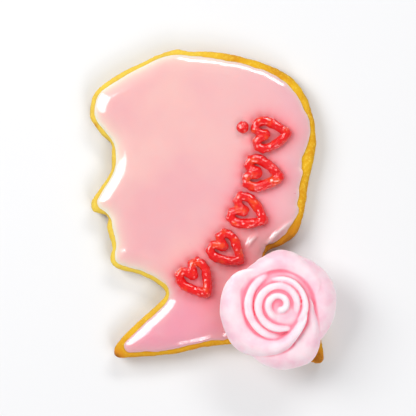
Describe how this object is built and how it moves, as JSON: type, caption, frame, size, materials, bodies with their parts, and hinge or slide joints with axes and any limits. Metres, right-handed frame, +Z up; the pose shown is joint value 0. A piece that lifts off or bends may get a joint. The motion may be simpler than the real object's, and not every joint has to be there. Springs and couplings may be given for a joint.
{
  "type": "iced sugar cookie",
  "caption": "Sugar cookie cut as a head in profile, with poured icing, piped hearts and a moulded sugar rose, for eating or display.",
  "frame": {"origin": "under the middle of the overall box, on the plane that the biscuit lies on", "axes": "+Z up through the icing, +Y from the collar to the crown of the head, +X from the face to the back of the head"},
  "size_m": [0.0768, 0.1, 0.0203],
  "materials": {
    "biscuit": "matte baked dough",
    "icing": "glossy set icing",
    "piping": "wet gloss gel",
    "sugar": "satin sugar paste"
  },
  "bodies": {
    "root": {"biscuit": "biscuit", "icing": "icing", "piped_heart_1": "piping", "piped_heart_2": "piping", "piped_heart_3": "piping", "piped_heart_4": "piping", "piped_heart_5": "piping", "piped_dot": "piping", "sugar_rose": "sugar"}
  },
  "joints": []
}
